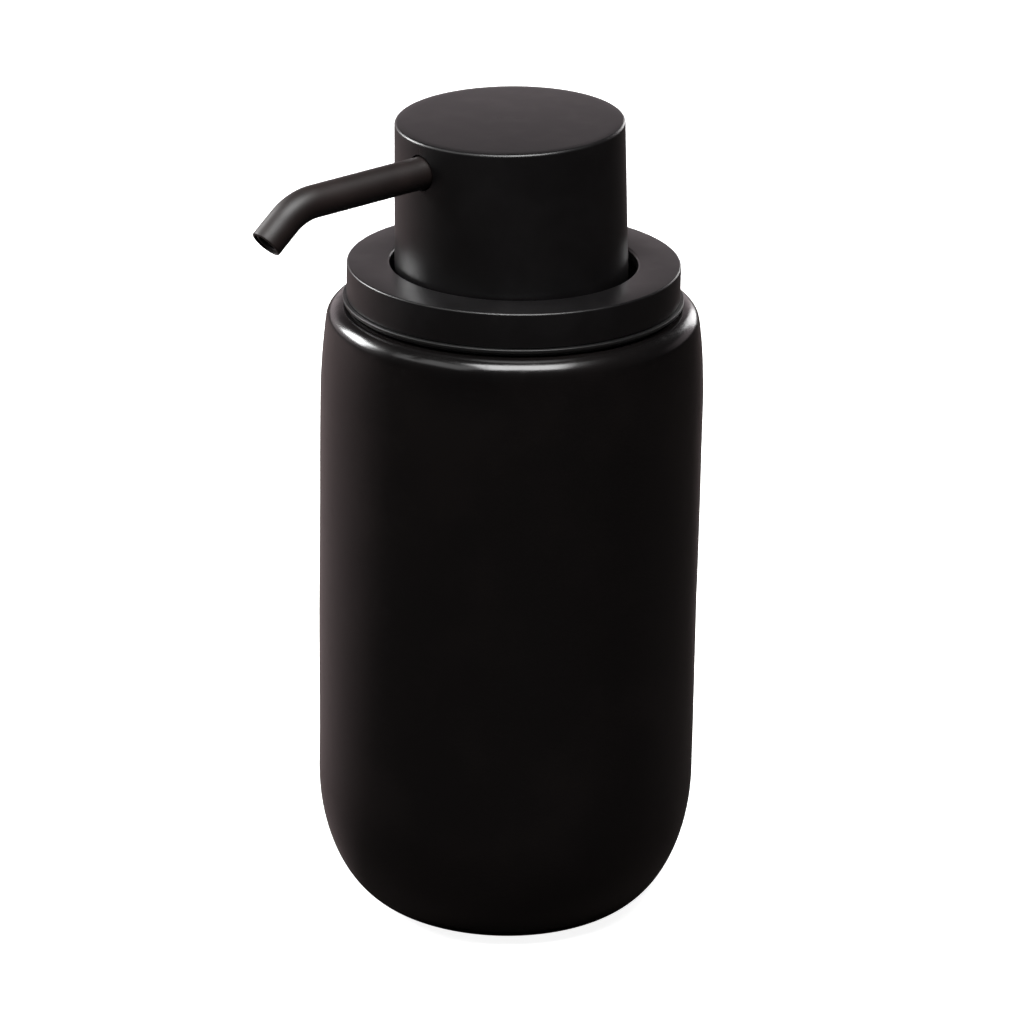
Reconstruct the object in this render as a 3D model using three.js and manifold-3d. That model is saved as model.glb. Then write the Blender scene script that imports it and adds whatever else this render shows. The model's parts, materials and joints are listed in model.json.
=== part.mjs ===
// Soap pump dispenser: a glazed bottle with a lift-out lid that carries a lotion pump.
// Units are millimetres and +Z is up. The origin is the centre of the base, on the
// underside of the base pad. The spout points along -Y.

import * as THREE from 'three';
import { mergeVertices } from 'three/addons/utils/BufferGeometryUtils.js';
import Module from 'manifold-3d';

const wasm = await Module();
wasm.setup();

// ---------------------------------------------------------------- driving sizes

const bottleRadius = 40;
const ledgeHeight = 133.2; // flat ceramic rim under the lid
const mouthRadius = 31.5;
const collarRadius = 34.6;
const collarTop = 142.3;
const collarHole = 25.65;
const headRadius = 23.65; // at the top rim
const headSkirtRadius = 24.2; // at the lower edge, down in the well
const headTop = 173.3;
const spoutHeight = 166.65;
const spoutRadius = 3.35;
const stroke = 13.5; // travel of the head when it is pressed

// The stem has play in its guide, so the head and its stem tip towards the spout.
const headLean = THREE.MathUtils.degToRad(1.9);
const leanHeight = 121;

const seated = 0.15; // gap between pieces that are fixed to each other
const running = 0.15; // gap round a piece that slides or turns in another

// Heights that the pump's pieces share
const headSkirtBottom = 139;
const wellFloorTop = headSkirtBottom - stroke - 1.5;
const wellFloorThickness = 2.2;
const wellRadius = 26.1;
const wellWall = 1.8;
const barrelRadius = 6.25; // bore of the pump barrel
const barrelBottom = 76;
const pistonBottom = 104;
const pistonHeight = 9;
const stemTop = 159.5;

// How round each size of piece is
const wide = 48;
const medium = 28;
const slim = 18;

const finishes = {
  glaze: { color: 0x0b0a0a, roughness: 0.12, metalness: 0 },
  satinBlack: { color: 0x151415, roughness: 0.42, metalness: 0.1 },
  blackPlastic: { color: 0x121212, roughness: 0.5, metalness: 0 },
  naturalPlastic: { color: 0xe4e2da, roughness: 0.4, metalness: 0 },
  clearPlastic: { color: 0xd8dcda, roughness: 0.3, metalness: 0 },
  silicone: { color: 0x2a2a2b, roughness: 0.7, metalness: 0 },
  padRubber: { color: 0x1b1a1a, roughness: 0.85, metalness: 0 },
  steel: { color: 0xb9bbbd, roughness: 0.25, metalness: 1 },
};

// ---------------------------------------------------------------- shape helpers

// Points along an elliptical bend about (r, z), between two angles in degrees that
// are counted anticlockwise from the outward direction.
function bend(r, z, radialSize, height, from, to, steps) {
  const points = [];
  for (let i = 0; i <= steps; i += 1) {
    const angle = THREE.MathUtils.degToRad(from + ((to - from) * i) / steps);
    points.push([r + radialSize * Math.cos(angle), z + height * Math.sin(angle)]);
  }
  return points;
}

// A solid turned about Z. The outline lists [radius, height] points anticlockwise.
// It starts and ends on the axis, or is closed here.
function turned(outline, segments) {
  const onAxis = outline[0][0] === 0;
  const ring = onAxis ? outline : [...outline, outline[0]];
  const points = ring.map(([r, z]) => new THREE.Vector2(r, z));
  return new THREE.LatheGeometry(points, segments).rotateX(Math.PI / 2);
}

// A plain ring or tube about Z.
function sleeve(inner, outer, bottom, top, segments) {
  return turned([[inner, bottom], [outer, bottom], [outer, top], [inner, top]], segments);
}

// A solid round bar about Z.
function bar(radius, bottom, top, segments) {
  return turned([[0, bottom], [radius, bottom], [radius, top], [0, top]], segments);
}

// A solid round bar along -Y, from one distance off the axis to another.
function crossBar(radius, height, from, to, segments) {
  return bar(radius, from, to, segments).rotateX(Math.PI / 2).translate(0, 0, height);
}

function block(sizeX, sizeY, sizeZ, x, y, z) {
  return new THREE.BoxGeometry(sizeX, sizeY, sizeZ).translate(x, y, z);
}

// Turns a closed geometry into a solid that can be cut and joined.
function solid(geometry) {
  const bare = geometry.clone();
  bare.deleteAttribute('normal');
  bare.deleteAttribute('uv');
  const merged = mergeVertices(bare, 1e-5);
  const all = merged.index.array;
  const triangles = [];
  for (let i = 0; i < all.length; i += 3) {
    const corners = [all[i], all[i + 1], all[i + 2]];
    if (new Set(corners).size === 3) {
      triangles.push(...corners);
    }
  }
  return new wasm.Manifold(new wasm.Mesh({
    numProp: 3,
    vertProperties: new Float32Array(merged.attributes.position.array),
    triVerts: new Uint32Array(triangles),
  }));
}

function cut(body, tools) {
  const mesh = tools.reduce((rest, tool) => rest.subtract(solid(tool)), body).getMesh();
  const geometry = new THREE.BufferGeometry();
  geometry.setAttribute('position', new THREE.BufferAttribute(mesh.vertProperties, 3));
  geometry.setIndex(new THREE.BufferAttribute(mesh.triVerts, 1));
  return geometry;
}

const dispenser = new THREE.Group();

function add(name, finish, geometry, group = dispenser) {
  const mesh = new THREE.Mesh(geometry, new THREE.MeshStandardMaterial(finishes[finish]));
  mesh.name = name;
  group.add(mesh);
}

// ---------------------------------------------------------------- bottle

const footHeight = 0.4; // the pad stands this far below the ceramic foot
const padRadius = 20.4;
const padThickness = 1.6;

function bottle() {
  const recessRadius = padRadius + 0.3;
  const recessTop = padThickness + 0.2;
  const footRadius = 22.8;
  const baseBend = 28.3;
  const shoulderBottom = 112.5;
  const shoulderRise = 17.6;
  const shoulderDrop = 1.2;
  const rimRound = 3.6;
  const rimStart = 7.7; // degrees, where the shoulder already leans in
  const mouthEdge = 0.8;
  const neckBottom = 118;
  const neckFlare = 11;
  const cavityRadius = bottleRadius - 4.2;
  const cavityFloor = 6;
  const cavityBendWidth = 14;
  const cavityBendHeight = 24;

  const shoulder = [];
  const shoulderSteps = 4;
  for (let i = 0; i < shoulderSteps; i += 1) {
    const t = i / shoulderSteps;
    const z = shoulderBottom + t * shoulderRise;
    shoulder.push([bottleRadius - shoulderDrop * t * t, z]);
  }

  const flare = [];
  const flareSteps = 3;
  for (let i = 1; i <= flareSteps; i += 1) {
    const t = i / flareSteps;
    const spread = (cavityRadius - mouthRadius) * (1 - Math.cos(t * Math.PI)) / 2;
    flare.push([mouthRadius + spread, neckBottom - t * neckFlare]);
  }

  const rimRadius = bottleRadius - shoulderDrop - rimRound;
  return turned([
    [0, recessTop],
    [recessRadius, recessTop],
    [recessRadius, footHeight],
    ...bend(footRadius, footHeight + baseBend, bottleRadius - footRadius, baseBend, -90, 0, 8),
    ...shoulder,
    ...bend(rimRadius, ledgeHeight - rimRound, rimRound, rimRound, rimStart, 90, 5),
    [mouthRadius + mouthEdge, ledgeHeight],
    [mouthRadius, ledgeHeight - mouthEdge],
    [mouthRadius, neckBottom],
    ...flare,
    ...bend(
      cavityRadius - cavityBendWidth,
      cavityFloor + cavityBendHeight,
      cavityBendWidth,
      cavityBendHeight,
      0,
      -90,
      6,
    ),
    [0, cavityFloor],
  ], wide);
}

function basePad() {
  const edge = 0.5;
  return turned([
    [0, 0],
    [padRadius - edge, 0],
    [padRadius, edge],
    [padRadius, padThickness],
    [0, padThickness],
  ], wide);
}

add('bottle', 'glaze', bottle());
add('base_pad', 'padRubber', basePad());

// ---------------------------------------------------------------- lid

const cupFlangeBottom = ledgeHeight + 0.9;
const cupFlangeTop = cupFlangeBottom + 0.8;
const cupOuter = wellRadius + wellWall;
const collarPlate = 2.15;
const flangeHole = 9.4;

function collarRing() {
  const skirtWall = 1.9;
  const rimFillet = 0.45;
  const holeFillet = 0.6;
  const skirtInner = collarRadius - skirtWall;
  const plateBottom = collarTop - collarPlate;
  return turned([
    [skirtInner, cupFlangeTop + seated],
    [collarRadius, cupFlangeTop + seated],
    ...bend(collarRadius - rimFillet, collarTop - rimFillet, rimFillet, rimFillet, 0, 90, 3),
    ...bend(collarHole + holeFillet, collarTop - holeFillet, holeFillet, holeFillet, 90, 180, 3),
    [collarHole, plateBottom],
    [skirtInner, plateBottom],
  ], wide);
}

function wellCup() {
  const flangeRadius = 35.4;
  const flangeHalf = (cupFlangeTop - cupFlangeBottom) / 2;
  const flangeMiddle = cupFlangeBottom + flangeHalf;
  const edge = 1;
  const floorBottom = wellFloorTop - wellFloorThickness;
  const cupTop = collarTop - collarPlate - seated;
  return turned([
    [flangeHole, floorBottom],
    [cupOuter - edge, floorBottom],
    [cupOuter, floorBottom + edge],
    [cupOuter, cupFlangeBottom],
    ...bend(flangeRadius - flangeHalf, flangeMiddle, flangeHalf, flangeHalf, -90, 90, 4),
    [cupOuter, cupFlangeTop],
    [cupOuter, cupTop],
    [wellRadius, cupTop],
    [wellRadius, wellFloorTop + edge],
    [wellRadius - edge, wellFloorTop],
    [flangeHole, wellFloorTop],
  ], wide);
}

// The silicone ring lies on the ledge and grips the mouth with two lips.
function sealRing() {
  const inner = cupOuter + seated;
  const skirtOuter = inner + 1.4;
  const skirtBottom = 123.4;
  const flangeOuter = 34.4;
  const lipReach = mouthRadius - 0.3;
  const lips = [125, 129.4].flatMap((z) => [
    [skirtOuter, z],
    [lipReach, z + 1.6],
    [skirtOuter, z + 2.2],
  ]);
  return turned([
    [inner, skirtBottom],
    [skirtOuter, skirtBottom],
    ...lips,
    [skirtOuter, ledgeHeight + seated],
    [flangeOuter, ledgeHeight + seated],
    [flangeOuter, cupFlangeBottom - seated],
    [inner, cupFlangeBottom - seated],
  ], wide);
}

add('collar_ring', 'satinBlack', collarRing());
add('well_cup', 'blackPlastic', wellCup());
add('seal_ring', 'silicone', sealRing());

// ---------------------------------------------------------------- pump body in the lid

const gasketThickness = 0.8;
const housingFlangeBottom = wellFloorTop + gasketThickness + 2 * seated;
const housingFlangeTop = housingFlangeBottom + 1.8;
const housingOuter = 7.6;
const threadRadius = 8.8;
const threadBottom = 112;
const tailRadius = 4.5;
const tailBottom = 54;
const tubeSocketTop = 66.2;
const tubeOuter = 2.95;
const tubeInner = 2.1;
const chamberRadius = 3;
const seatRadius = 1.4;
const seatBottom = 68.4;
const inletBallRadius = 2;
const cageFloor = barrelBottom + seated;
const cageTop = cageFloor + 1.45;
const upperStemRadius = 3.8;
const guideBottom = pistonBottom + pistonHeight + 1;

function housingGasket() {
  const bottom = wellFloorTop + seated;
  return sleeve(flangeHole + 0.1, 11.9, bottom, bottom + gasketThickness, medium);
}

function pumpHousing() {
  const flangeRadius = 12;
  const coneBottom = 70.5;
  const coneTop = 74.2;
  return turned([
    [tubeOuter + seated, tailBottom],
    [tailRadius, tailBottom],
    [tailRadius, coneBottom],
    [housingOuter, coneTop],
    [housingOuter, threadBottom],
    [threadRadius, threadBottom],
    [threadRadius, housingFlangeBottom],
    [flangeRadius, housingFlangeBottom],
    [flangeRadius, housingFlangeTop],
    [barrelRadius, housingFlangeTop],
    [barrelRadius, barrelBottom],
    [chamberRadius, barrelBottom],
    [chamberRadius, seatBottom + chamberRadius - seatRadius],
    [seatRadius, seatBottom],
    [seatRadius, tubeSocketTop],
    [tubeOuter + seated, tubeSocketTop],
  ], medium);
}

// Six-sided nut under the well floor.
function retainingNut() {
  const cornerRadius = 14;
  const thickness = 6;
  const top = wellFloorTop - wellFloorThickness - seated;
  const outline = new THREE.Shape();
  for (let i = 0; i < 6; i += 1) {
    const angle = (i * Math.PI) / 3;
    const x = cornerRadius * Math.cos(angle);
    const y = cornerRadius * Math.sin(angle);
    if (i === 0) {
      outline.moveTo(x, y);
    } else {
      outline.lineTo(x, y);
    }
  }
  outline.closePath();
  const hole = new THREE.Path();
  hole.absarc(0, 0, threadRadius + 0.3, 0, 2 * Math.PI, true);
  outline.holes.push(hole);
  const settings = { depth: thickness, bevelEnabled: false, curveSegments: slim };
  return new THREE.ExtrudeGeometry(outline, settings).translate(0, 0, top - thickness);
}

// Its bore widens upwards, which leaves room for the lean of the stem.
function stemGuide() {
  const innerBottom = upperStemRadius + 0.4;
  const innerTop = upperStemRadius + 1;
  const sleeveOuter = barrelRadius - 0.2;
  const capRadius = 11.4;
  const capBottom = housingFlangeTop + seated;
  const capTop = capBottom + 1.9;
  const neckRadius = 6.4;
  const neckTop = capTop + 2.6;
  return turned([
    [innerBottom, guideBottom],
    [sleeveOuter, guideBottom],
    [sleeveOuter, capBottom],
    [capRadius, capBottom],
    [capRadius, capTop],
    [neckRadius, capTop],
    [neckRadius, neckTop],
    [innerTop, neckTop],
  ], medium);
}

// Drilled disc that seats the spring, with a pin that keeps the inlet ball in its chamber.
function ballCage() {
  const pinRadius = 0.9;
  const pinBottom = 74.2;
  const body = turned([
    [0, pinBottom],
    [pinRadius, pinBottom],
    [pinRadius, cageFloor],
    [barrelRadius - 0.25, cageFloor],
    [barrelRadius - 0.25, cageTop],
    [0, cageTop],
  ], slim);
  const holeCircle = 1.95;
  const holeRadius = 0.65;
  const holes = [0, 1, 2, 3].map((i) => {
    const angle = Math.PI / 4 + (i * Math.PI) / 2;
    const hole = bar(holeRadius, cageFloor - 1, cageTop + 1, 10);
    return hole.translate(holeCircle * Math.cos(angle), holeCircle * Math.sin(angle), 0);
  });
  return cut(solid(body), holes);
}

function dipTube() {
  const bottom = 8.5;
  const slant = Math.PI / 6;
  const wedge = block(20, 20, 10, 0, 0, -5).rotateY(slant);
  const wedgeHeight = bottom + tubeOuter * Math.tan(slant);
  wedge.translate(0, 0, wedgeHeight);
  const tube = sleeve(tubeInner, tubeOuter, bottom - 1, tubeSocketTop - 0.2, slim);
  return cut(solid(tube), [wedge]);
}

function inletBall() {
  const rest = seatBottom - seatRadius + inletBallRadius * Math.SQRT2 + 0.17;
  return new THREE.SphereGeometry(inletBallRadius, 16, 10).translate(0, 0, rest);
}

add('housing_gasket', 'silicone', housingGasket());
add('pump_housing', 'naturalPlastic', pumpHousing());
add('retaining_nut', 'blackPlastic', retainingNut());
add('stem_guide', 'blackPlastic', stemGuide());
add('ball_cage', 'naturalPlastic', ballCage());
add('dip_tube', 'clearPlastic', dipTube());
add('inlet_ball', 'steel', inletBall());

// ---------------------------------------------------------------- plunger

const pistonStemRadius = 2.4;
const pistonStemBore = 1.3;
const pistonStemTop = 120.5;
const outletSeatRadius = 1.9;
const outletBallRadius = 1.6;

function returnSpring() {
  const wireRadius = 0.45;
  const coilRadius = 4.6;
  const turns = 9;
  const bottom = cageTop + wireRadius + seated;
  const top = pistonBottom - wireRadius - seated;
  class Coil extends THREE.Curve {
    getPoint(t, target = new THREE.Vector3()) {
      const angle = 2 * Math.PI * turns * t;
      const height = bottom + (top - bottom) * t;
      return target.set(coilRadius * Math.cos(angle), coilRadius * Math.sin(angle), height);
    }
  }
  const section = new THREE.Shape();
  section.absarc(0, 0, wireRadius, 0, 2 * Math.PI, false);
  const settings = { steps: turns * 12, curveSegments: 3, extrudePath: new Coil() };
  return new THREE.ExtrudeGeometry(section, settings);
}

function piston() {
  const lipRadius = barrelRadius - running;
  const waist = 5.2;
  const bore = pistonStemRadius + running;
  const top = pistonBottom + pistonHeight;
  return turned([
    [bore, pistonBottom],
    [lipRadius - 0.7, pistonBottom],
    [lipRadius, pistonBottom + 0.4],
    [lipRadius, pistonBottom + 1.4],
    [waist, pistonBottom + 2.4],
    [waist, top - 2.4],
    [lipRadius, top - 1.4],
    [lipRadius, top - 0.4],
    [lipRadius - 0.7, top],
    [bore, top],
  ], medium);
}

function pistonStem() {
  const bottom = 97;
  const flangeRadius = 3.6;
  const flangeTop = pistonBottom - seated;
  const flangeBottom = flangeTop - 1.15;
  return turned([
    [pistonStemBore, bottom],
    [pistonStemRadius, bottom],
    [pistonStemRadius, flangeBottom],
    [flangeRadius, flangeBottom],
    [flangeRadius, flangeTop],
    [pistonStemRadius, flangeTop],
    [pistonStemRadius, pistonStemTop],
    [outletSeatRadius, pistonStemTop],
    [pistonStemBore, pistonStemTop - (outletSeatRadius - pistonStemBore)],
  ], slim);
}

function outletBall() {
  const coneApex = pistonStemTop - outletSeatRadius;
  const rest = coneApex + outletBallRadius * Math.SQRT2 + 0.14;
  return new THREE.SphereGeometry(outletBallRadius, 14, 8).translate(0, 0, rest);
}

add('return_spring', 'steel', returnSpring());
add('piston', 'naturalPlastic', piston());
add('piston_stem', 'naturalPlastic', pistonStem());
add('outlet_ball', 'steel', outletBall());

// ---------------------------------------------------------------- head

const shellWall = 1.5;
const channelRadius = 2;

const tipped = new THREE.Group();
tipped.position.z = leanHeight;
tipped.rotation.x = headLean;
dispenser.add(tipped);
const head = new THREE.Group();
head.position.z = -leanHeight;
tipped.add(head);

function upperStem() {
  const bottom = pistonBottom + pistonHeight + 2 * running;
  const ballBore = pistonStemRadius + 0.4;
  const bore = 2.2;
  const webRadius = outletBallRadius - 0.15;
  const webBottom = 124.6;
  const webTop = webBottom + 1.2;
  const body = turned([
    [ballBore, bottom],
    [upperStemRadius, bottom],
    [upperStemRadius, stemTop],
    [bore, stemTop],
    [bore, webTop],
    [webRadius, webTop],
    [webRadius, webBottom],
    [ballBore, webBottom],
  ], slim);
  const slotWidth = 0.9;
  const slot = block(2 * bore - 0.2, slotWidth, 2.4, 0, 0, (webBottom + webTop) / 2);
  return cut(solid(body), [slot]);
}

function headShell() {
  const rimFillet = 0.7;
  const dome = 0.3;
  const rimTop = headTop - dome;
  const domeRadius = headRadius - rimFillet;
  const edge = 0.3;
  const crown = [1, 0.66, 0.33, 0].map((t) => [domeRadius * t, headTop - dome * t * t]);
  const body = turned([
    [0, headTop - shellWall],
    [headRadius - shellWall, headTop - shellWall],
    [headSkirtRadius - shellWall, headSkirtBottom],
    [headSkirtRadius - edge, headSkirtBottom],
    [headSkirtRadius, headSkirtBottom + edge],
    ...bend(domeRadius, rimTop - rimFillet, rimFillet, rimFillet, 0, 90, 4).slice(0, -1),
    ...crown,
  ], wide);
  const clearance = 0.4;
  const hole = crossBar(spoutRadius + clearance, spoutHeight, 18, 28, slim);
  return cut(solid(body), [hole]);
}

// Column that carries the stem, with a boss for the spout and four webs to the shell.
function actuatorCore() {
  const columnRadius = 7.5;
  const bottom = 147.5;
  const top = headTop - shellWall - 0.2;
  const bossHalf = 5;
  const bossFront = 20.6;
  const bossBottom = spoutHeight - bossHalf;
  const webThickness = 1.6;
  const webReach = headRadius - shellWall - 0.4;
  const webBottom = 155;
  const boreDepth = 7.8;

  const bossMiddle = (top + bossBottom) / 2;
  const boss = block(2 * bossHalf, bossFront, top - bossBottom, 0, -bossFront / 2, bossMiddle);
  const webs = [0, 1].map((i) => {
    const web = block(2 * webReach, webThickness, top - webBottom, 0, 0, (top + webBottom) / 2);
    return web.rotateZ(Math.PI / 4 + (i * Math.PI) / 2);
  });
  const column = solid(bar(columnRadius, bottom, top, medium));
  const body = [boss, ...webs].reduce((sum, piece) => sum.add(solid(piece)), column);
  return cut(body, [
    bar(upperStemRadius + 0.2, bottom - 1, stemTop + 0.2, slim),
    bar(channelRadius, stemTop - 1, spoutHeight, slim),
    crossBar(spoutRadius + seated, spoutHeight, boreDepth, bossFront + 1, slim),
    crossBar(channelRadius, spoutHeight, 0, boreDepth + 1, slim),
  ]);
}

// Centre line of the spout: level, then a bend, then a short drop to the tip.
function spoutTubing(inner, outer, tipTrim) {
  const start = 8;
  const bendStart = 50.9;
  const bendRadius = 12;
  const bendAngle = THREE.MathUtils.degToRad(38.4);
  const tipLength = 6;
  const bendLength = bendRadius * bendAngle;
  const levelLength = bendStart - start;
  const total = levelLength + bendLength + tipLength - tipTrim;
  class SpoutLine extends THREE.Curve {
    getPoint(t, target = new THREE.Vector3()) {
      const along = t * total;
      const turn = THREE.MathUtils.clamp((along - levelLength) / bendRadius, 0, bendAngle);
      const level = Math.min(along, levelLength);
      const drop = Math.max(along - levelLength - bendLength, 0);
      const reach = start + level + bendRadius * Math.sin(turn) + drop * Math.cos(turn);
      const fall = bendRadius * (1 - Math.cos(turn)) + drop * Math.sin(turn);
      return target.set(0, -reach, spoutHeight - fall);
    }
  }
  const section = new THREE.Shape();
  section.absarc(0, 0, outer, 0, 2 * Math.PI, false);
  const hole = new THREE.Path();
  hole.absarc(0, 0, inner, 0, 2 * Math.PI, true);
  section.holes.push(hole);
  const settings = { steps: 20, curveSegments: slim / 2, extrudePath: new SpoutLine() };
  return new THREE.ExtrudeGeometry(section, settings);
}

const spoutWall = 0.6;
const linerOuter = spoutRadius - spoutWall - seated;

add('upper_stem', 'naturalPlastic', upperStem(), head);
add('head_shell', 'satinBlack', headShell(), head);
add('actuator_core', 'blackPlastic', actuatorCore(), head);
add('spout_tube', 'satinBlack', spoutTubing(spoutRadius - spoutWall, spoutRadius, 0), head);
add('spout_liner', 'blackPlastic', spoutTubing(channelRadius, linerOuter, 0.4), head);

export default dispenser;
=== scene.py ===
import json
import math

import bmesh
import bpy
from mathutils import Matrix, Vector, noise

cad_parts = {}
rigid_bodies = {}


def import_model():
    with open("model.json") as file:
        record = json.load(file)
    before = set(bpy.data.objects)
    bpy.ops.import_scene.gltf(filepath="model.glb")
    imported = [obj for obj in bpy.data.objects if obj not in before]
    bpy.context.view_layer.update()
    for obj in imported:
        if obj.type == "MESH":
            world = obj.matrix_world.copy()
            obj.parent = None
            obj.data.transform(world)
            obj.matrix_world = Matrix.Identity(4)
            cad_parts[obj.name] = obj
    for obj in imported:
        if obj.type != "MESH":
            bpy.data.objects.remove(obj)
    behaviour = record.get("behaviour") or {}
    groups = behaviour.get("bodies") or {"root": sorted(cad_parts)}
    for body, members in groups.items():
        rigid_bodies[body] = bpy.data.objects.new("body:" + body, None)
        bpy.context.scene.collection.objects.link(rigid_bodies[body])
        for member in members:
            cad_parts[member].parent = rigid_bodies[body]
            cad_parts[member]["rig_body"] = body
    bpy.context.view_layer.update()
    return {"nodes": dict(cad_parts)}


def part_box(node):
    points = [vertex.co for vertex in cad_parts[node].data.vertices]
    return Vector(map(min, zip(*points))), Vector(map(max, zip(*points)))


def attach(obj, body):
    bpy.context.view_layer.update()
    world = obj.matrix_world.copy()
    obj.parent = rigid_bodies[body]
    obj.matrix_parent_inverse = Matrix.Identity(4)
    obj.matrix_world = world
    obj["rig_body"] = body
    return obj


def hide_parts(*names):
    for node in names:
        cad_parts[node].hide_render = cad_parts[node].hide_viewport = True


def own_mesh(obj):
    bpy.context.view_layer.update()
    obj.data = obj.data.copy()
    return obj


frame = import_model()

# Looks of the soap pump dispenser. Every piece is turned, swept or cut here in fine
# detail and stands for the CAD node of the same name. Outlines are in millimetres.

MM = 0.001

# Viewpoint: straight distance and angles from the object's middle, in metres and degrees
VIEW_AZIMUTH = 49.85
VIEW_ELEVATION = 21.01
VIEW_ROLL = 0.98
VIEW_DISTANCE = 1.034
VIEW_HEIGHT = 0.085
VIEW_LENS = 172.3
VIEW_SHIFT = (0.0024, 0.0073)

# The head and its stem tip this far towards the spout, in degrees, about this height
HEAD_LEAN = 1.9
LEAN_HEIGHT = 121

# ---------------------------------------------------------------- sizes from the frame

def reach(node):
    """Outer radius of a node about the axis, in millimetres."""
    low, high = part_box(node)
    return max(-low.x, -low.y, high.x, high.y) / MM


def bottom(node):
    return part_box(node)[0].z / MM


def top(node):
    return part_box(node)[1].z / MM


# ---------------------------------------------------------------- outlines

def arc(r, z, across, up, start, end, steps):
    """Points of an elliptical bend about (r, z), from one angle in degrees to another."""
    points = []
    for i in range(steps + 1):
        angle = math.radians(start + (end - start) * i / steps)
        points.append((r + across * math.cos(angle), z + up * math.sin(angle)))
    return points


def rounded(corners, steps=5):
    """An outline with rounded corners. A corner is (radius, height) or (radius, height, fillet)."""
    closed = corners[0][0] > 0
    last = len(corners) - 1
    points = []
    for i, corner in enumerate(corners):
        here = Vector(corner[:2])
        at_end = not closed and i in (0, last)
        if len(corner) == 2 or at_end:
            points.append(here)
            continue
        back = Vector(corners[i - 1][:2]) - here
        ahead = Vector(corners[0 if i == last else i + 1][:2]) - here
        half = back.angle(ahead) / 2
        trim = min(corner[2] / math.tan(half), 0.48 * back.length, 0.48 * ahead.length)
        radius = trim * math.tan(half)
        middle = (back.normalized() + ahead.normalized()).normalized()
        centre = here + middle * (radius / math.sin(half))
        start = here + back.normalized() * trim - centre
        end = here + ahead.normalized() * trim - centre
        points += [centre + start.slerp(end, k / steps) * radius for k in range(steps + 1)]
    return [(p[0], p[1]) for p in points]


def split(points, longest):
    """The same outline with its long stretches divided into equal steps."""
    closed = points[0][0] > 0
    ring = points + points[:1] if closed else points
    out = []
    for a, b in zip(ring, ring[1:]):
        count = max(1, math.ceil(math.dist(a, b) / longest))
        for k in range(count):
            t = k / count
            out.append((a[0] + (b[0] - a[0]) * t, a[1] + (b[1] - a[1]) * t))
    if not closed:
        out.append(points[-1])
    return out


# ---------------------------------------------------------------- meshes

def upright(height):
    """The straight centre line: a point and its two cross directions at a height."""
    return Vector((0, 0, height)), Vector((1, 0, 0)), Vector((0, 1, 0))


def turned(name, outline, segments=128, line=upright, shape=None):
    """A solid made by turning an outline of (radius, length along the line) about a line.

    The outline starts and ends on the line, or closes on itself. shape moves each point.
    """
    closed = outline[0][0] > 0
    points = []
    rings = []
    for radius, along in outline:
        centre, right, up = line(along)
        ring = []
        for j in range(segments if radius > 0 else 1):
            angle = 2 * math.pi * j / segments
            arm = right * math.cos(angle) + up * math.sin(angle)
            point = centre + arm * radius
            ring.append(len(points))
            points.append((shape(point) if shape else point) * MM)
        rings.append(ring)
    faces = []
    pairs = list(zip(rings, rings[1:]))
    if closed:
        pairs.append((rings[-1], rings[0]))
    for a, b in pairs:
        for j in range(segments):
            k = (j + 1) % segments
            corners = [a[j % len(a)], a[k % len(a)], b[k % len(b)], b[j % len(b)]]
            face = list(dict.fromkeys(corners))
            if len(face) > 2:
                faces.append(face)
    mesh = bpy.data.meshes.new(name)
    mesh.from_pydata(points, [], faces)
    return solid_object(name, mesh)


def solid_object(name, mesh):
    """Points the faces outwards, smooths them up to sharp edges and adds the object."""
    work = bmesh.new()
    work.from_mesh(mesh)
    bmesh.ops.recalc_face_normals(work, faces=work.faces)
    work.to_mesh(mesh)
    work.free()
    mesh.shade_smooth()
    mesh.set_sharp_from_angle(angle=math.radians(38))
    piece = bpy.data.objects.new(name, mesh)
    bpy.context.scene.collection.objects.link(piece)
    return piece


def box_solid(name, size, centre, turn=0.0):
    """A block with its edges eased, turned about Z, for joining or cutting."""
    work = bmesh.new()
    bmesh.ops.create_cube(work, size=1)
    bmesh.ops.scale(work, vec=Vector(size) * MM, verts=work.verts)
    bmesh.ops.bevel(work, geom=work.edges[:], offset=0.25 * MM, segments=2, affect="EDGES")
    bmesh.ops.translate(work, vec=Vector(centre) * MM, verts=work.verts)
    spin = Matrix.Rotation(turn, 4, "Z")
    bmesh.ops.transform(work, matrix=spin, verts=work.verts)
    mesh = bpy.data.meshes.new(name)
    work.to_mesh(mesh)
    work.free()
    return solid_object(name, mesh)


def combine(piece, others, operation):
    """Joins others to the piece, or cuts them out of it, and removes them."""
    for other in others:
        modifier = piece.modifiers.new("combine", "BOOLEAN")
        modifier.operation = operation
        modifier.solver = "EXACT"
        modifier.object = other
    graph = bpy.context.evaluated_depsgraph_get()
    mesh = bpy.data.meshes.new_from_object(piece.evaluated_get(graph))
    piece.modifiers.clear()
    piece.data = mesh
    mesh.set_sharp_from_angle(angle=math.radians(38))
    for other in others:
        bpy.data.objects.remove(other)
    return piece


def crosswise(height):
    """A centre line that runs out along -Y at a height, for holes through the side."""
    def line(along):
        return Vector((0, -along, height)), Vector((1, 0, 0)), Vector((0, 0, 1))
    return line


def helix(radius, start, rise, pitch_at):
    """A coiled centre line about Z. pitch_at gives the pitch at a share of the rise."""
    steps = 720
    turns = [0.0]
    for i in range(steps):
        turns.append(turns[-1] + rise / steps / pitch_at((i + 0.5) / steps))

    def line(along):
        share = min(max(along, 0), 1) * steps
        i = min(int(share), steps - 1)
        angle = 2 * math.pi * (turns[i] + (turns[i + 1] - turns[i]) * (share - i))
        out = Vector((math.cos(angle), math.sin(angle), 0))
        centre = out * radius + Vector((0, 0, start + rise * share / steps))
        return centre, out, Vector((0, 0, 1))
    return line, turns[-1]


def rod(name, radius, start, end, line=upright, segments=48):
    return turned(name, [(0, start), (radius, start), (radius, end), (0, end)], segments, line)


# ---------------------------------------------------------------- materials

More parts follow.
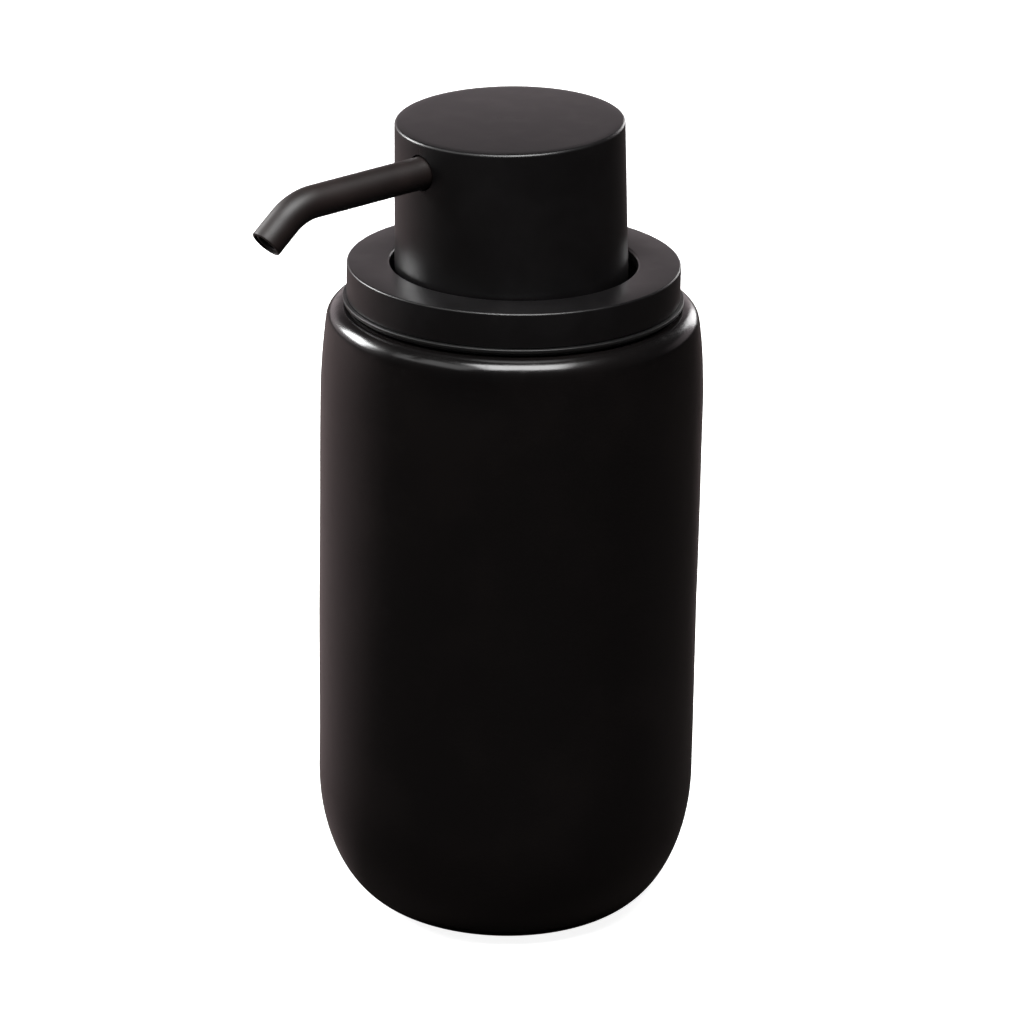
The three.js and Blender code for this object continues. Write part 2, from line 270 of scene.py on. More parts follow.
def smooth_range(tree, value, low, high):
    """A mask that goes from 0 at low to 1 at high, eased at both ends."""
    node = tree.nodes.new("ShaderNodeMapRange")
    node.interpolation_type = "SMOOTHSTEP"
    node.inputs["From Min"].default_value = low
    node.inputs["From Max"].default_value = high
    tree.links.new(value, node.inputs["Value"])
    return node.outputs["Result"]


def constant(tree, colour):
    node = tree.nodes.new("ShaderNodeRGB")
    node.outputs[0].default_value = (*colour, 1)
    return node.outputs[0]


def blend(tree, mask, a, b, kind="RGBA"):
    """Goes from a to b where the mask goes from 0 to 1. kind is RGBA or FLOAT."""
    node = tree.nodes.new("ShaderNodeMix")
    node.data_type = kind
    first, second, result = {"RGBA": (6, 7, 2), "FLOAT": (2, 3, 0)}[kind]
    tree.links.new(mask, node.inputs[0])
    tree.links.new(a, node.inputs[first])
    tree.links.new(b, node.inputs[second])
    return node.outputs[result]


class Finish:
    """A Principled material that is built up from procedural layers in object space."""

    def __init__(self, name, colour, roughness, metallic=0.0):
        self.material = bpy.data.materials.new(name)
        self.material.use_nodes = True
        self.tree = self.material.node_tree
        self.shader = self.tree.nodes["Principled BSDF"]
        self.shader.inputs["Metallic"].default_value = metallic
        place = self.tree.nodes.new("ShaderNodeTexCoord")
        self.place = place.outputs["Object"]
        self.colour = constant(self.tree, colour)
        self.roughness = self.number(roughness)
        self.normal = None

    def number(self, value):
        node = self.tree.nodes.new("ShaderNodeValue")
        node.outputs[0].default_value = value
        return node.outputs[0]

    def noise(self, size, detail=3.0, stretch=(1, 1, 1), distortion=0.0):
        """Noise whose features are about size millimetres across."""
        mapping = self.tree.nodes.new("ShaderNodeMapping")
        mapping.inputs["Scale"].default_value = stretch
        texture = self.tree.nodes.new("ShaderNodeTexNoise")
        texture.inputs["Scale"].default_value = 1 / (size * MM)
        texture.inputs["Detail"].default_value = detail
        texture.inputs["Distortion"].default_value = distortion
        self.tree.links.new(self.place, mapping.inputs["Vector"])
        self.tree.links.new(mapping.outputs[0], texture.inputs["Vector"])
        return texture.outputs["Fac"]

    def remap(self, value, low, high):
        return smooth_range(self.tree, value, low, high)

    def math(self, operation, a, b):
        node = self.tree.nodes.new("ShaderNodeMath")
        node.operation = operation
        for socket, value in zip(node.inputs, (a, b)):
            if isinstance(value, (int, float)):
                socket.default_value = value
            else:
                self.tree.links.new(value, socket)
        return node.outputs[0]

    def layer(self, mask, colour=None, roughness=None):
        """Blends another colour and roughness in where the mask is high."""
        if colour is not None:
            self.colour = blend(self.tree, mask, self.colour, constant(self.tree, colour))
        if roughness is not None:
            other = self.number(roughness)
            self.roughness = blend(self.tree, mask, self.roughness, other, "FLOAT")

    def relief(self, height, depth):
        """Raises the surface by up to depth millimetres where height is high."""
        bump = self.tree.nodes.new("ShaderNodeBump")
        bump.inputs["Distance"].default_value = depth * MM
        bump.inputs["Strength"].default_value = 1.0
        self.tree.links.new(height, bump.inputs["Height"])
        if self.normal is not None:
            self.tree.links.new(self.normal, bump.inputs["Normal"])
        self.normal = bump.outputs["Normal"]

    def height(self):
        """Height above the base in millimetres."""
        node = self.tree.nodes.new("ShaderNodeSeparateXYZ")
        self.tree.links.new(self.place, node.inputs[0])
        return self.math("MULTIPLY", node.outputs["Z"], 1 / MM)

    def edges(self, low, high):
        """A mask of the outer edges."""
        node = self.tree.nodes.new("ShaderNodeNewGeometry")
        return self.remap(node.outputs["Pointiness"], low, high)

    def fix(self, **values):
        """Sets sockets that are the same all over."""
        for name, value in values.items():
            self.shader.inputs[name.replace("_", " ")].default_value = value
        return self

    def done(self):
        self.tree.links.new(self.colour, self.shader.inputs["Base Color"])
        self.tree.links.new(self.roughness, self.shader.inputs["Roughness"])
        if self.normal is not None:
            self.tree.links.new(self.normal, self.shader.inputs["Normal"])
        return self.material


def glaze():
    """Glossy black glaze, thin and brown over the foot, where the clay shows through."""
    f = Finish("black_glaze", (0.0032, 0.0028, 0.0028), 0.19)
    f.layer(f.remap(f.noise(22, 3), 0.42, 0.68), (0.0046, 0.0038, 0.0037), 0.23)
    f.layer(f.remap(f.noise(2.2, 4), 0.55, 0.75), roughness=0.27)
    f.relief(f.noise(5, 2), 0.03)
    f.relief(f.noise(0.9, 2), 0.004)
    line = f.math("ADD", f.height(), f.math("MULTIPLY", f.noise(14, 2), -1.6))
    f.layer(f.remap(line, 2.6, 1.4), (0.05, 0.034, 0.032), 0.4)
    f.layer(f.remap(line, 1.5, 1.1), (0.3, 0.22, 0.21), 0.85)
    return f.fix(IOR=1.5).done()


def satin_black(name, colour, roughness):
    """Fine powder coat with a faint grain and handling marks. Its outer edges are smoother and
    painted lighter: edge wear together with a painted highlight along the rims.
    """
    f = Finish(name, colour, roughness)
    lighter = [c * 1.5 for c in colour]
    f.layer(f.remap(f.noise(14, 4, distortion=0.6), 0.4, 0.75), lighter, roughness + 0.03)
    f.layer(f.remap(f.noise(6, 2), 0.4, 0.75), roughness=roughness - 0.03)
    # painted highlight: outer edges get a lighter colour and lower roughness, edge wear together
    # with a painted highlight along the rims
    f.layer(f.edges(0.53, 0.62), [c * 2.4 for c in colour], roughness - 0.08)
    f.relief(f.noise(0.35, 3), 0.004)
    return f.done()


def moulded(name, colour, roughness, **fixed):
    """Moulded plastic with slight flow marks and a fine spark-eroded texture."""
    f = Finish(name, colour, roughness)
    lighter = [min(1, c * 1.2) for c in colour]
    f.layer(f.remap(f.noise(9, 3, (1, 1, 0.4)), 0.4, 0.7), lighter, roughness + 0.08)
    f.layer(f.remap(f.noise(1.5, 4), 0.55, 0.75), roughness=roughness - 0.07)
    f.relief(f.noise(0.5, 3), 0.008)
    return f.fix(**fixed).done()


def rubbery(name, colour, roughness):
    """Soft rubber with dust caught in a fine matt grain."""
    f = Finish(name, colour, roughness)
    dust = f.remap(f.noise(0.6, 5), 0.6, 0.78)
    f.layer(f.remap(f.noise(7, 3), 0.4, 0.7), [c * 1.35 for c in colour], roughness - 0.05)
    f.layer(dust, [c * 2.2 for c in colour], roughness + 0.08)
    f.relief(f.noise(0.25, 3), 0.01)
    return f.done()


def steel():
    """Drawn stainless steel with fine lines round the wire and a light tarnish."""
    f = Finish("stainless_steel", (0.56, 0.56, 0.55), 0.24, metallic=1.0)
    f.layer(f.remap(f.noise(3, 4), 0.45, 0.7), (0.44, 0.43, 0.41), 0.34)
    f.layer(f.remap(f.noise(0.2, 2, (1, 1, 4)), 0.5, 0.7), roughness=0.2)
    f.relief(f.noise(0.12, 2, (1, 1, 5)), 0.002)
    return f.done()


# ---------------------------------------------------------------- placing pieces


def stand_for(node, piece, material):
    """Gives a fine piece its material and puts it in the place of its CAD node."""
    piece.data.materials.clear()
    piece.data.materials.append(material)
    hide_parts(node)
    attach(piece, frame["nodes"][node]["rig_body"])
    return piece


# ---------------------------------------------------------------- bottle

def bottle(material):
    outer = reach("bottle")
    foot = 0.2  # the foot ring's gap to the floor, which only the pad touches
    ledge = top("bottle")
    recess = reach("base_pad") + 0.3
    recess_top = top("base_pad") + 0.2
    foot_radius = 23.6
    base_bend = 29.0
    shoulder_bottom = ledge - 20.7
    shoulder_rise = 17.6
    shoulder_drop = 1.2
    rim = 3.6
    rim_start = 7.7
    mouth = reach("seal_ring") - 2.9
    mouth_edge = 0.8
    neck_low = ledge - 15.2
    flare_height = 11
    cavity = outer - 4.2
    floor = 6.0
    floor_bend = (14, 24)  # width and height

    shoulder = []
    steps = 24
    for i in range(steps):
        t = i / steps
        shoulder.append((outer - shoulder_drop * t * t, shoulder_bottom + shoulder_rise * t))
    flare = []
    for i in range(1, steps + 1):
        t = i / steps
        spread = (cavity - mouth) * (1 - math.cos(math.pi * t)) / 2
        flare.append((mouth + spread, neck_low - flare_height * t))
    rim_radius = outer - shoulder_drop - rim
    outline = [(0, recess_top), (recess, recess_top), (recess, foot)]
    outline += arc(foot_radius, foot + base_bend, outer - foot_radius, base_bend, -90, 0, 44)
    outline += shoulder
    outline += arc(rim_radius, ledge - rim, rim, rim, rim_start, 90, 16)
    outline += arc(mouth + mouth_edge, ledge - mouth_edge, mouth_edge, mouth_edge, 90, 180, 6)
    outline += flare
    outline += arc(cavity - floor_bend[0], floor + floor_bend[1], *floor_bend, 0, -90, 24)
    outline.append((0, floor))

    broad_swells = 26
    broad_height = 0.11
    fine_swells = 11
    fine_height = 0.03
    fine_height_more_at_rim = 0.05

    def hand_made(point):
        """Slight unevenness of a cast and glazed wall, none at the foot or the ledge."""
        free = min(1, max(0, (point.z - floor) / 20), max(0, (ledge - 0.6 - point.z) / 2))
        near_rim = min(1, max(0, (point.z - shoulder_bottom) / 12))
        fine = fine_height + fine_height_more_at_rim * near_rim
        swell = noise.noise(point / broad_swells) * broad_height
        swell += noise.noise(point / fine_swells) * fine
        scale = 1 + free * swell / outer
        return Vector((point.x * scale, point.y * scale, point.z))

    piece = turned("bottle_fine", split(outline, 2.5), 256, shape=hand_made)
    return stand_for("bottle", piece, material)


def base_pad(material):
    radius = reach("base_pad")
    height = top("base_pad")
    depth = 0.35
    half_mouth = 0.6
    half_floor = 0.3
    outline = [(0, 0)]
    for groove in (5, 9, 13, 17):
        outline += [(groove - half_mouth, 0), (groove - half_floor, depth)]
        outline += [(groove + half_floor, depth), (groove + half_mouth, 0)]
    outline += [(radius, 0, 0.5), (radius, height, 0.2), (0, height)]
    return stand_for("base_pad", turned("base_pad_fine", rounded(outline), 160), material)


# ---------------------------------------------------------------- lid

def collar_ring(material):
    radius = reach("collar_ring")
    low = bottom("collar_ring")
    high = top("collar_ring")
    hole = 25.65
    skirt = radius - 1.9
    plate = high - 2.15
    outline = rounded([
        (skirt, low, 0.1),
        (radius, low, 0.15),
        (radius, high, 0.45),
        (hole, high, 0.6),
        (hole, plate, 0.2),
        (skirt, plate, 0.4),
    ], 7)
    return stand_for("collar_ring", turned("collar_ring_fine", outline, 256), material)


def well_cup(material):
    flange = reach("well_cup")
    low = bottom("well_cup")
    high = top("well_cup")
    flange_low = bottom("collar_ring") - 0.95
    flange_high = flange_low + 0.8
    well = 26.1
    outer = well + 1.8
    hole = 9.4
    floor = low + 2.2
    outline = rounded([
        (hole, low, 0.2),
        (outer, low, 1.0),
        (outer, flange_low, 0.3),
        (flange, flange_low, 0.3),
        (flange, flange_high, 0.18),
        (outer, flange_high, 0.2),
        (outer, high, 0.3),
        (well, high, 0.3),
        (well, floor, 1.2),
        (hole, floor, 0.2),
    ], 6)
    return stand_for("well_cup", turned("well_cup_fine", outline, 192), material)


def seal_ring(material):
    flange = reach("seal_ring")
    low = bottom("seal_ring")
    high = top("seal_ring")
    inner = 28.05
    skirt = inner + 1.4
    lip = flange - 3.2
    outline = [(inner, low, 0.2), (skirt, low, 0.3)]
    for start in (low + 1.6, low + 6.0):
        outline += [(skirt, start, 0.3), (lip, start + 1.6, 0.25), (skirt, start + 2.2, 0.2)]
    outline += [
        (skirt, high - 0.6, 0.2),
        (flange, high - 0.6, 0.25),
        (flange, high, 0.25),
        (inner, high, 0.15),
    ]
    return stand_for("seal_ring", turned("seal_ring_fine", rounded(outline), 192), material)


def housing_gasket(material):
    radius = reach("housing_gasket")
    low = bottom("housing_gasket")
    high = top("housing_gasket")
    inner = 9.5
    edge = 0.3
    outline = rounded([
        (inner, low, edge),
        (radius, low, edge),
        (radius, high, edge),
        (inner, high, edge),
    ])
    return stand_for("housing_gasket", turned("housing_gasket_fine", outline, 96), material)


def pump_housing(material):
    flange = reach("pump_housing")
    low = bottom("pump_housing")
    high = top("pump_housing")
    flange_low = high - 1.8
    barrel = 6.25
    outer = 7.6
    thread = 8.4
    thread_low = 112.0
    barrel_low = 74.2
    rib_low = 77.6
    rib_high = rib_low + 2.2
    tail = 4.5
    tail_high = 70.5
    socket = 3.1
    socket_top = 66.2
    throat = 1.4
    seat = 68.4
    chamber = 3.0
    chamber_top = 76
    outline = rounded([
        (socket, low, 0.15),
        (tail, low, 0.5),
        (tail, tail_high, 1.5),
        (outer, barrel_low, 1.5),
        (outer, rib_low, 0.2),
        (outer + 0.35, rib_low + 0.4, 0.2),
        (outer + 0.35, rib_high - 0.4, 0.2),
        (outer, rib_high, 0.2),
        (outer, thread_low, 0.3),
        (thread, thread_low + 0.8, 0.2),
        (thread, flange_low, 0.2),
        (flange, flange_low, 0.2),
        (flange, high, 0.35),
        (barrel, high, 0.3),
        (barrel, chamber_top, 0.3),
        (chamber, chamber_top, 0.2),
        (chamber, seat + chamber - throat, 0.1),
        (throat, seat, 0.1),
        (throat, socket_top),
        (socket, socket_top),
    ])
    piece = turned("pump_housing_fine", outline, 96)
    thread_pitch = 2.1
    line, turns = helix(thread, thread_low + 1.6, 10.4, lambda share: thread_pitch)
    ridge_radius = 0.42
    ridge = []
    steps = int(turns * 48)
    for i in range(steps + 1):
        share = i / steps
        fade = min(1, share * 14, (1 - share) * 14)
        ridge.append((ridge_radius * math.sqrt(fade), share))
    bead = turned("thread", ridge, 12, line)
    combine(piece, [bead], "UNION")
    return stand_for("pump_housing", piece, material)


def retaining_nut(material):
    low = bottom("retaining_nut")
    high = top("retaining_nut")
    corner = reach("retaining_nut")
    flat = corner * math.cos(math.pi / 6) - 0.05
    bore = 9.1
    chamfer = 1.1
    outline = split(rounded([
        (bore, low, 0.3),
        (corner - chamfer, low, 0.1),
        (corner, low + chamfer, 0.1),
        (corner, high - chamfer, 0.1),
        (corner - chamfer, high, 0.1),
        (bore, high, 0.3),
    ]), 0.5)

    def hexagon(point):
        angle = math.atan2(point.y, point.x) % (math.pi / 3) - math.pi / 6
        across = math.hypot(point.x, point.y)
        scale = min(1, flat / math.cos(angle) / across)
        return Vector((point.x * scale, point.y * scale, point.z))

    piece = turned("retaining_nut_fine", outline, 192, shape=hexagon)
    return stand_for("retaining_nut", piece, material)


def stem_guide(material):
    low = bottom("stem_guide")
    high = top("stem_guide")
    cap = reach("stem_guide")
    cap_low = high - 4.5
    cap_high = high - 2.6
    plug = 6.05
    collar = 6.4
    bore_low = 4.2
    bore_high = 4.8
    outline = rounded([
        (bore_low, low, 0.2),
        (plug, low, 0.3),
        (plug, cap_low, 0.1),
        (cap, cap_low, 0.2),
        (cap, cap_high, 0.5),
        (collar, cap_high, 0.4),
        (collar, high, 0.4),
        (bore_high, high, 0.3),
    ])
    return stand_for("stem_guide", turned("stem_guide_fine", outline, 96), material)


def ball_cage(material):
    low = bottom("ball_cage")
    high = top("ball_cage")
    radius = 6.0
    pin = 0.9
    disc_low = high - 1.45
    hole_radius = 0.65
    hole_circle = 1.95
    outline = rounded([
        (0, low),
        (pin, low, 0.3),
        (pin, disc_low, 0.15),
        (radius, disc_low, 0.2),
        (radius, high, 0.2),
        (0, high),
    ])
    piece = turned("ball_cage_fine", outline, 64)
    holes = []
    for i in range(4):
        angle = math.pi / 4 + i * math.pi / 2
        hole = rod("hole", hole_radius, disc_low - 1, high + 1, segments=24)
        middle = Vector((math.cos(angle), math.sin(angle), 0)) * hole_circle * MM
        hole.data.transform(Matrix.Translation(middle))
        holes.append(hole)
    return stand_for("ball_cage", combine(piece, holes, "DIFFERENCE"), material)


def dip_tube(material):
    low = bottom("dip_tube")
    high = top("dip_tube")
    outer = 2.95
    inner = 2.1
    slant = math.radians(30)
    outline = split(rounded([
        (inner, low, 0.08),
        (outer, low, 0.08),
        (outer, high, 0.15),
        (inner, high, 0.15),
    ]), 2)

    def slanted(point):
        """Cuts the lower end at a slant."""
        cut = low + (outer - point.x) * math.tan(slant)
        lift = max(0, 1 - (point.z - low) / 8)
        return Vector((point.x, point.y, point.z + (cut - low) * lift))

    piece = turned("dip_tube_fine", outline, 64, shape=slanted)
    return stand_for("dip_tube", piece, material)


def ball(node, material):
    low = bottom(node)
    high = top(node)
    radius = (high - low) / 2
    outline = arc(0, (low + high) / 2, radius, radius, -90, 90, 40)
    outline[0] = (0, low)
    outline[-1] = (0, high)
    return stand_for(node, turned(node + "_fine", outline, 72), material)


# ---------------------------------------------------------------- plunger

def return_spring(material):
    """Coil spring with closed end turns."""
    low = bottom("return_spring")
    high = top("return_spring")
    wire = 0.45
    coil = 4.6
    closed_pitch = 2 * wire + 0.06
    open_pitch = 3.3

    def pitch(share):
        free = min(1, max(0, min(share, 1 - share) / 0.05 - 0.6))
        return closed_pitch + (open_pitch - closed_pitch) * free

    line, turns = helix(coil, low + wire, high - low - 2 * wire, pitch)
    steps = int(turns * 56)
    outline = [(0, 0)]
    outline += [(wire, i / steps) for i in range(steps + 1)]
    outline.append((0, 1))
    piece = turned("return_spring_fine", outline, 12, line)
    stand_for("return_spring", piece, material)
    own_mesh(piece)
    return piece


def piston(material):
    low = bottom("piston")
    high = top("piston")
    lip = reach("piston")
    waist = 5.2
    bore = 2.55
    outline = rounded([
        (bore, low, 0.1),
        (lip - 1.5, low, 0.2),
        (lip - 0.9, low + 0.8, 0.3),
        (lip - 0.4, low, 0.1),
        (lip, low + 0.3, 0.1),
        (lip, low + 1.2, 0.2),
        (waist, low + 2.6, 0.6),
        (waist, high - 2.6, 0.6),
        (lip, high - 1.2, 0.2),
        (lip, high - 0.3, 0.1),
        (lip - 0.4, high, 0.1),
        (lip - 0.9, high - 0.8, 0.3),
        (lip - 1.5, high, 0.2),
        (bore, high, 0.1),
    ])
    return stand_for("piston", turned("piston_fine", outline, 96), material)


def piston_stem(material):
    low = bottom("piston_stem")
    high = top("piston_stem")
    radius = 2.4
    bore = 1.3
    seat = 0.6
    flange = 3.6
    flange_high = bottom("piston") - 0.15
    flange_low = flange_high - 1.15
    outline = rounded([
        (bore, low, 0.2),
        (radius, low, 0.3),
        (radius, flange_low, 0.2),
        (flange, flange_low, 0.25),
        (flange, flange_high, 0.15),
        (radius, flange_high, 0.05),
        (radius, high, 0.2),
        (bore + seat, high, 0.1),
        (bore, high - seat, 0.1),
    ])
    return stand_for("piston_stem", turned("piston_stem_fine", outline, 64), material)


# ---------------------------------------------------------------- head
# These pieces are made upright and then tipped. Their heights are along the head's own axis.

HEAD_TOP = 173.3
SKIRT_LOW = bottom("well_cup") + 17.2
STEM_LOW = top("piston") + 0.3
STEM_TOP = 159.5
SPOUT_HEIGHT = HEAD_TOP - 6.65
SPOUT_RADIUS = 3.35
SPOUT_START = 8.0
LEVEL_LENGTH = 42.9
BEND_RADIUS = 12.0
BEND_ANGLE = math.radians(38.4)
BEND_LENGTH = BEND_RADIUS * BEND_ANGLE
SPOUT_LENGTH = LEVEL_LENGTH + BEND_LENGTH + 6.0


def tipped(piece):
    """Leans a piece of the head towards the spout, about the middle of the stem guide."""
    pivot = Matrix.Translation((0, 0, LEAN_HEIGHT * MM))
    lean = Matrix.Rotation(math.radians(HEAD_LEAN), 4, "X")
    piece.data.transform(pivot @ lean @ pivot.inverted())
    return piece


def upper_stem(material):
    radius = 3.8
    ball_bore = 2.8
    bore = 2.2
    web = 1.45
    web_low = 124.6
    web_high = web_low + 1.2
    outline = rounded([
        (ball_bore, STEM_LOW, 0.15),
        (radius, STEM_LOW, 0.3),
        (radius, STEM_TOP, 0.4),
        (bore, STEM_TOP, 0.2),
        (bore, web_high, 0.1),
        (web, web_high, 0.1),
        (web, web_low, 0.1),
        (ball_bore, web_low, 0.1),
    ])
    piece = turned("upper_stem_fine", outline, 64)
    slot = box_solid("slot", (4.2, 0.9, 2.4), (0, 0, (web_low + web_high) / 2))
    return stand_for("upper_stem", tipped(combine(piece, [slot], "DIFFERENCE")), material)


def head_shell(material):
    high = HEAD_TOP
    low = SKIRT_LOW
    skirt = 24.2
    rim = 23.65
    wall = 1.5
    dome = 0.3
    fillet = 0.7
    crown = rim - fillet
    outline = rounded([
        (0, high - wall),
        (rim - wall, high - wall, 0.8),
        (skirt - wall, low, 0.3),
        (skirt, low, 0.4),
        (rim, high - dome - fillet),
    ])
    outline = split(outline, 2)
    outline += arc(crown, high - dome - fillet, fillet, fillet, 0, 86, 9)[1:]
    for i in range(1, 17):
        share = 1 - i / 16
        outline.append((crown * share, high - dome * share * share))
    piece = turned("head_shell_fine", outline, 256)
    hole = rod("hole", SPOUT_RADIUS + 0.4, 18, 28, crosswise(SPOUT_HEIGHT), 64)
    return stand_for("head_shell", tipped(combine(piece, [hole], "DIFFERENCE")), material)


def actuator_core(material):
    low = 147.5
    high = HEAD_TOP - 1.7
    height = SPOUT_HEIGHT
    column = 7.5
    front = 20.6
    stem_top = STEM_TOP + 0.2
    web_low = low + 7.5
    web_reach = 2 * 21.75
    outline = rounded([(0, low), (column, low, 0.6), (column, high, 0.4), (0, high)])
    piece = turned("actuator_core_fine", outline, 96)
    boss_low = height - 5
    boss_middle = (high + boss_low) / 2
    boss = box_solid("boss", (10, front, high - boss_low), (0, -front / 2, boss_middle))
    web_size = (web_reach, 1.6, high - web_low)
    web_centre = (0, 0, (high + web_low) / 2)
    webs = [box_solid("web", web_size, web_centre, math.radians(a)) for a in (45, 135)]
    combine(piece, [boss, *webs], "UNION")
    cuts = [
        rod("socket", 4.0, low - 1, stem_top),
        rod("channel", 2.0, stem_top - 1, height),
        rod("spout_bore", 3.5, 7.8, front + 1, crosswise(height)),
        rod("cross_channel", 2.0, 0, 8.8, crosswise(height)),
    ]
    return stand_for("actuator_core", tipped(combine(piece, cuts, "DIFFERENCE")), material)


def spout_line(along):
    """Centre line of the spout: level along -Y, then a bend, then a short drop."""
    turn = min(max((along - LEVEL_LENGTH) / BEND_RADIUS, 0), BEND_ANGLE)
    level = min(along, LEVEL_LENGTH)
    drop = max(along - LEVEL_LENGTH - BEND_LENGTH, 0)
    out = SPOUT_START + level + BEND_RADIUS * math.sin(turn) + drop * math.cos(turn)
    fall = BEND_RADIUS * (1 - math.cos(turn)) + drop * math.sin(turn)
    centre = Vector((0, -out, SPOUT_HEIGHT - fall))
    up = Vector((0, -math.sin(turn), math.cos(turn)))
    return centre, Vector((1, 0, 0)), up


def spout_tube(material):
    outer = SPOUT_RADIUS
    inner = outer - 0.6
    outline = rounded([
        (inner, 0, 0.1),
        (outer, 0, 0.1),
        (outer, SPOUT_LENGTH, 0.3),
        (inner, SPOUT_LENGTH, 0.15),
    ], 6)
    piece = turned("spout_tube_fine", split(outline, 0.7), 96, spout_line)
    return stand_for("spout_tube", tipped(piece), material)


def spout_liner(material):
    outer = SPOUT_RADIUS - 0.7
    inner = 2.0
    length = SPOUT_LENGTH - 0.4
    outline = rounded([
        (inner, 0, 0.1),
        (outer, 0, 0.1),
        (outer, length, 0.15),
        (inner, length, 0.3),
    ], 5)
    piece = turned("spout_liner_fine", split(outline, 0.7), 64, spout_line)
    return stand_for("spout_liner", tipped(piece), material)


# ---------------------------------------------------------------- studio

def from_camera(azimuth, elevation, distance):
    """A point round the object's middle. Azimuth 0 is on the camera's side, + is to its right."""
    a = math.radians(VIEW_AZIMUTH + azimuth)
    e = math.radians(elevation)
    out = Vector((math.sin(a) * math.cos(e), -math.cos(a) * math.cos(e), math.sin(e)))
    return out * distance + Vector((0, 0, VIEW_HEIGHT))


def aimed(obj, place, roll=0.0):
    """Puts a camera or light at a place, looking at the object's middle."""
    look = (Vector((0, 0, VIEW_HEIGHT)) - place).to_track_quat("-Z", "Y").to_matrix().to_4x4()
    obj.matrix_world = Matrix.Translation(place) @ look @ Matrix.Rotation(roll, 4, "Z")
    bpy.context.scene.collection.objects.link(obj)


def softbox(name, azimuth, elevation, distance, size, radiance):
    """A rectangular light of (width, height) metres with an even surface brightness."""
    lamp = bpy.data.lights.new(name, "AREA")
    lamp.shape = "RECTANGLE"
    lamp.size, lamp.size_y = size
    lamp.energy = radiance * math.pi * size[0] * size[1]
    light = bpy.data.objects.new(name, lamp)
    light.visible_camera = False
    aimed(light, from_camera(azimuth, elevation, distance))


def seen_otherwise(tree, direct, reflected):
    """Joins two shaders: one as the camera sees it, one as reflections see it."""
    rays = tree.nodes.new("ShaderNodeLightPath")
    mix = tree.nodes.new("ShaderNodeMixShader")
    tree.links.new(rays.outputs["Is Camera Ray"], mix.inputs[0])
    tree.links.new(reflected, mix.inputs[1])
    tree.links.new(direct, mix.inputs[2])
    return mix.outputs[0]


def towards(tree, place, azimuth, spread, near, far):
    """A colour that is near in one direction from the object and fades to far, spread away."""
    level = tree.nodes.new("ShaderNodeVectorMath")
    level.operation = "MULTIPLY"
    level.inputs[1].default_value = (1, 1, 0)
    unit = tree.nodes.new("ShaderNodeVectorMath")
    unit.operation = "NORMALIZE"
    along = tree.nodes.new("ShaderNodeVectorMath")
    along.operation = "DOT_PRODUCT"
    along.inputs[1].default_value = from_camera(azimuth, 0, 1) - Vector((0, 0, VIEW_HEIGHT))
    tree.links.new(place, level.inputs[0])
    tree.links.new(level.outputs[0], unit.inputs[0])
    tree.links.new(unit.outputs[0], along.inputs[0])
    fade = smooth_range(tree, along.outputs["Value"], 1 - spread, 1)
    return blend(tree, fade, constant(tree, far), constant(tree, near))


def studio_floor():
    """A wide pale floor. The object's own reflections see it dark, with a painted pool of light
    towards the left and back.
    """
    material = bpy.data.materials.new("studio_floor")
    material.use_nodes = True
    tree = material.node_tree
    direct = tree.nodes["Principled BSDF"]
    direct.inputs["Base Color"].default_value = (0.8, 0.8, 0.8, 1)
    direct.inputs["Roughness"].default_value = 0.9
    direct.inputs["Specular IOR Level"].default_value = 0.1
    direct.inputs["Emission Color"].default_value = (1, 1, 1, 1)
    direct.inputs["Emission Strength"].default_value = 0.9
    dim = tree.nodes.new("ShaderNodeBsdfDiffuse")
    place = tree.nodes.new("ShaderNodeTexCoord").outputs["Object"]
    # painted light: as reflections see it, the floor is painted brighter towards the left-back,
    # where the key lamp's pool of light lies, and dark elsewhere
    painted_floor_light = towards(tree, place, -148, 0.82, (0.15, 0.12, 0.12), (0.027, 0.023, 0.022))
    tree.links.new(painted_floor_light, dim.inputs["Color"])
    mixed = seen_otherwise(tree, direct.outputs[0], dim.outputs[0])
    tree.links.new(mixed, tree.nodes["Material Output"].inputs["Surface"])
    half = 6.0
    mesh = bpy.data.meshes.new("studio_floor")
    corners = [(-half, -half, 0), (half, -half, 0), (half, half, 0), (-half, half, 0)]
    mesh.from_pydata(corners, [], [(0, 1, 2, 3)])
    mesh.materials.append(material)
    floor = bpy.data.objects.new("studio_floor", mesh)
    bpy.context.scene.collection.objects.link(floor)


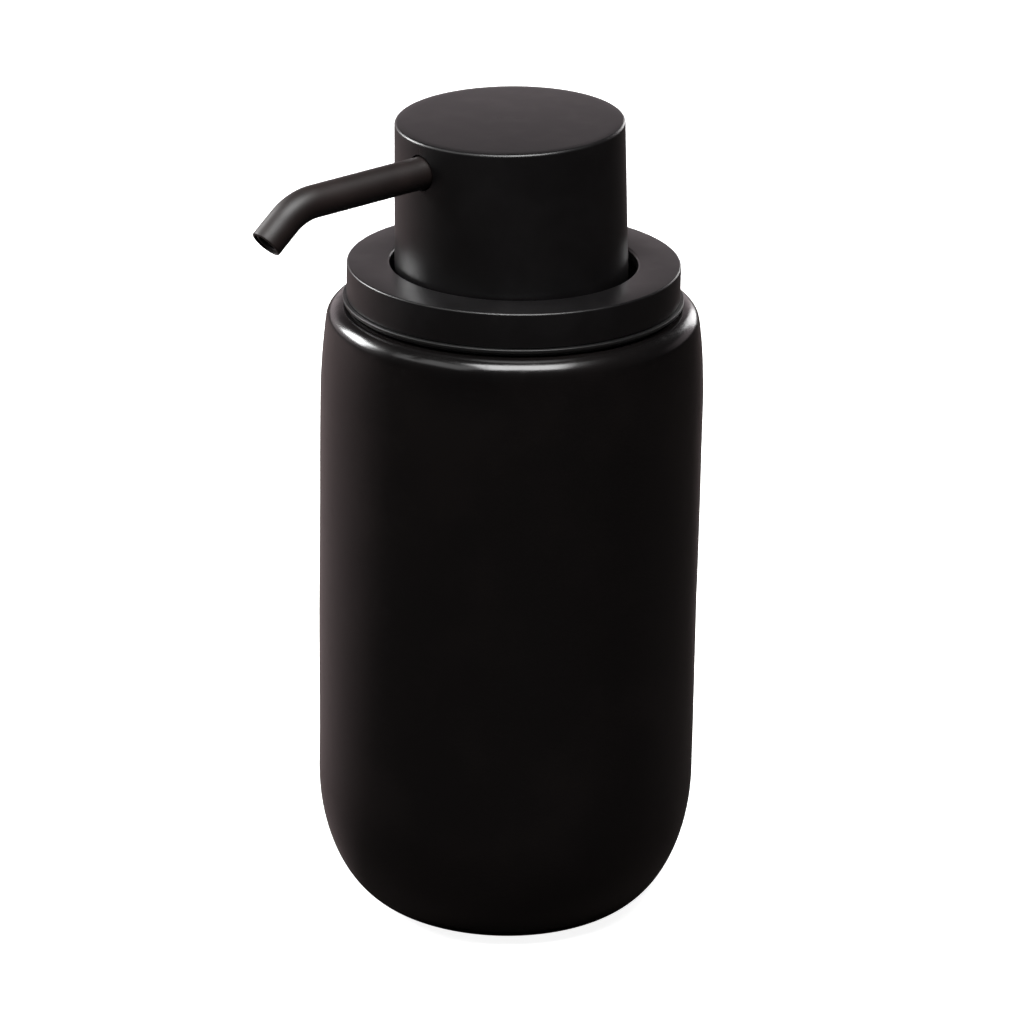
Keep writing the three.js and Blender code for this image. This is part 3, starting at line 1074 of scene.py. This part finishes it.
def studio_world():
    """White for the camera. Reflections see a dark room with a low bright wall at the back."""
    world = bpy.data.worlds.new("studio")
    bpy.context.scene.world = world
    world.use_nodes = True
    tree = world.node_tree
    direct = tree.nodes["Background"]
    direct.inputs["Color"].default_value = (1, 1, 1, 1)
    place = tree.nodes.new("ShaderNodeTexCoord").outputs["Generated"]
    parts = tree.nodes.new("ShaderNodeSeparateXYZ")
    tree.links.new(place, parts.inputs[0])
    above_wall = smooth_range(tree, parts.outputs["Z"], 0.2, 0.38)
    dark = (0.025, 0.024, 0.025)
    wall = towards(tree, place, -170, 1.0, (0.92, 0.8, 0.83), dark)
    room = tree.nodes.new("ShaderNodeBackground")
    tree.links.new(blend(tree, above_wall, wall, constant(tree, dark)), room.inputs["Color"])
    mixed = seen_otherwise(tree, direct.outputs[0], room.outputs[0])
    tree.links.new(mixed, tree.nodes["World Output"].inputs["Surface"])


def studio_camera():
    data = bpy.data.cameras.new("camera")
    data.lens = VIEW_LENS
    data.sensor_width = 36
    data.shift_x, data.shift_y = VIEW_SHIFT
    data.clip_end = 50
    camera = bpy.data.objects.new("camera", data)
    aimed(camera, from_camera(0, VIEW_ELEVATION, VIEW_DISTANCE), math.radians(VIEW_ROLL))
    bpy.context.scene.camera = camera


def studio():
    bpy.context.scene.view_settings.view_transform = "Standard"
    studio_camera()
    studio_floor()
    studio_world()
    softbox("key_left", -117, 25, 1.2, (0.5, 0.42), 24)
    softbox("top_front", 10, 66, 1.1, (0.75, 0.6), 15)
    softbox("left_fill", -58, 45, 1.4, (1.1, 0.6), 1.8)
    softbox("right_back", 152, 12, 1.3, (0.35, 0.5), 5.0)


# ---------------------------------------------------------------- everything

studio()

black_glaze = glaze()
powder_coat = satin_black("satin_black", (0.0032, 0.0029, 0.0031), 0.35)
spout_coat = satin_black("satin_black_spout", (0.0065, 0.0034, 0.003), 0.5)
black_plastic = moulded("black_plastic", (0.006, 0.006, 0.006), 0.42)
natural_plastic = moulded("natural_plastic", (0.74, 0.73, 0.68), 0.36, Subsurface_Weight=0.15)
clear_plastic = moulded("clear_plastic", (0.86, 0.88, 0.86), 0.22, Transmission_Weight=0.75)
silicone = rubbery("silicone", (0.028, 0.028, 0.029), 0.6)
pad_rubber = rubbery("pad_rubber", (0.02, 0.019, 0.019), 0.75)
stainless = steel()

bottle(black_glaze)
base_pad(pad_rubber)
collar_ring(powder_coat)
well_cup(black_plastic)
seal_ring(silicone)
housing_gasket(silicone)
pump_housing(natural_plastic)
retaining_nut(black_plastic)
stem_guide(black_plastic)
ball_cage(natural_plastic)
dip_tube(clear_plastic)
ball("inlet_ball", stainless)
return_spring(stainless)
piston(natural_plastic)
piston_stem(natural_plastic)
ball("outlet_ball", stainless)
upper_stem(natural_plastic)
head_shell(powder_coat)
actuator_core(black_plastic)
spout_tube(spout_coat)
spout_liner(black_plastic)
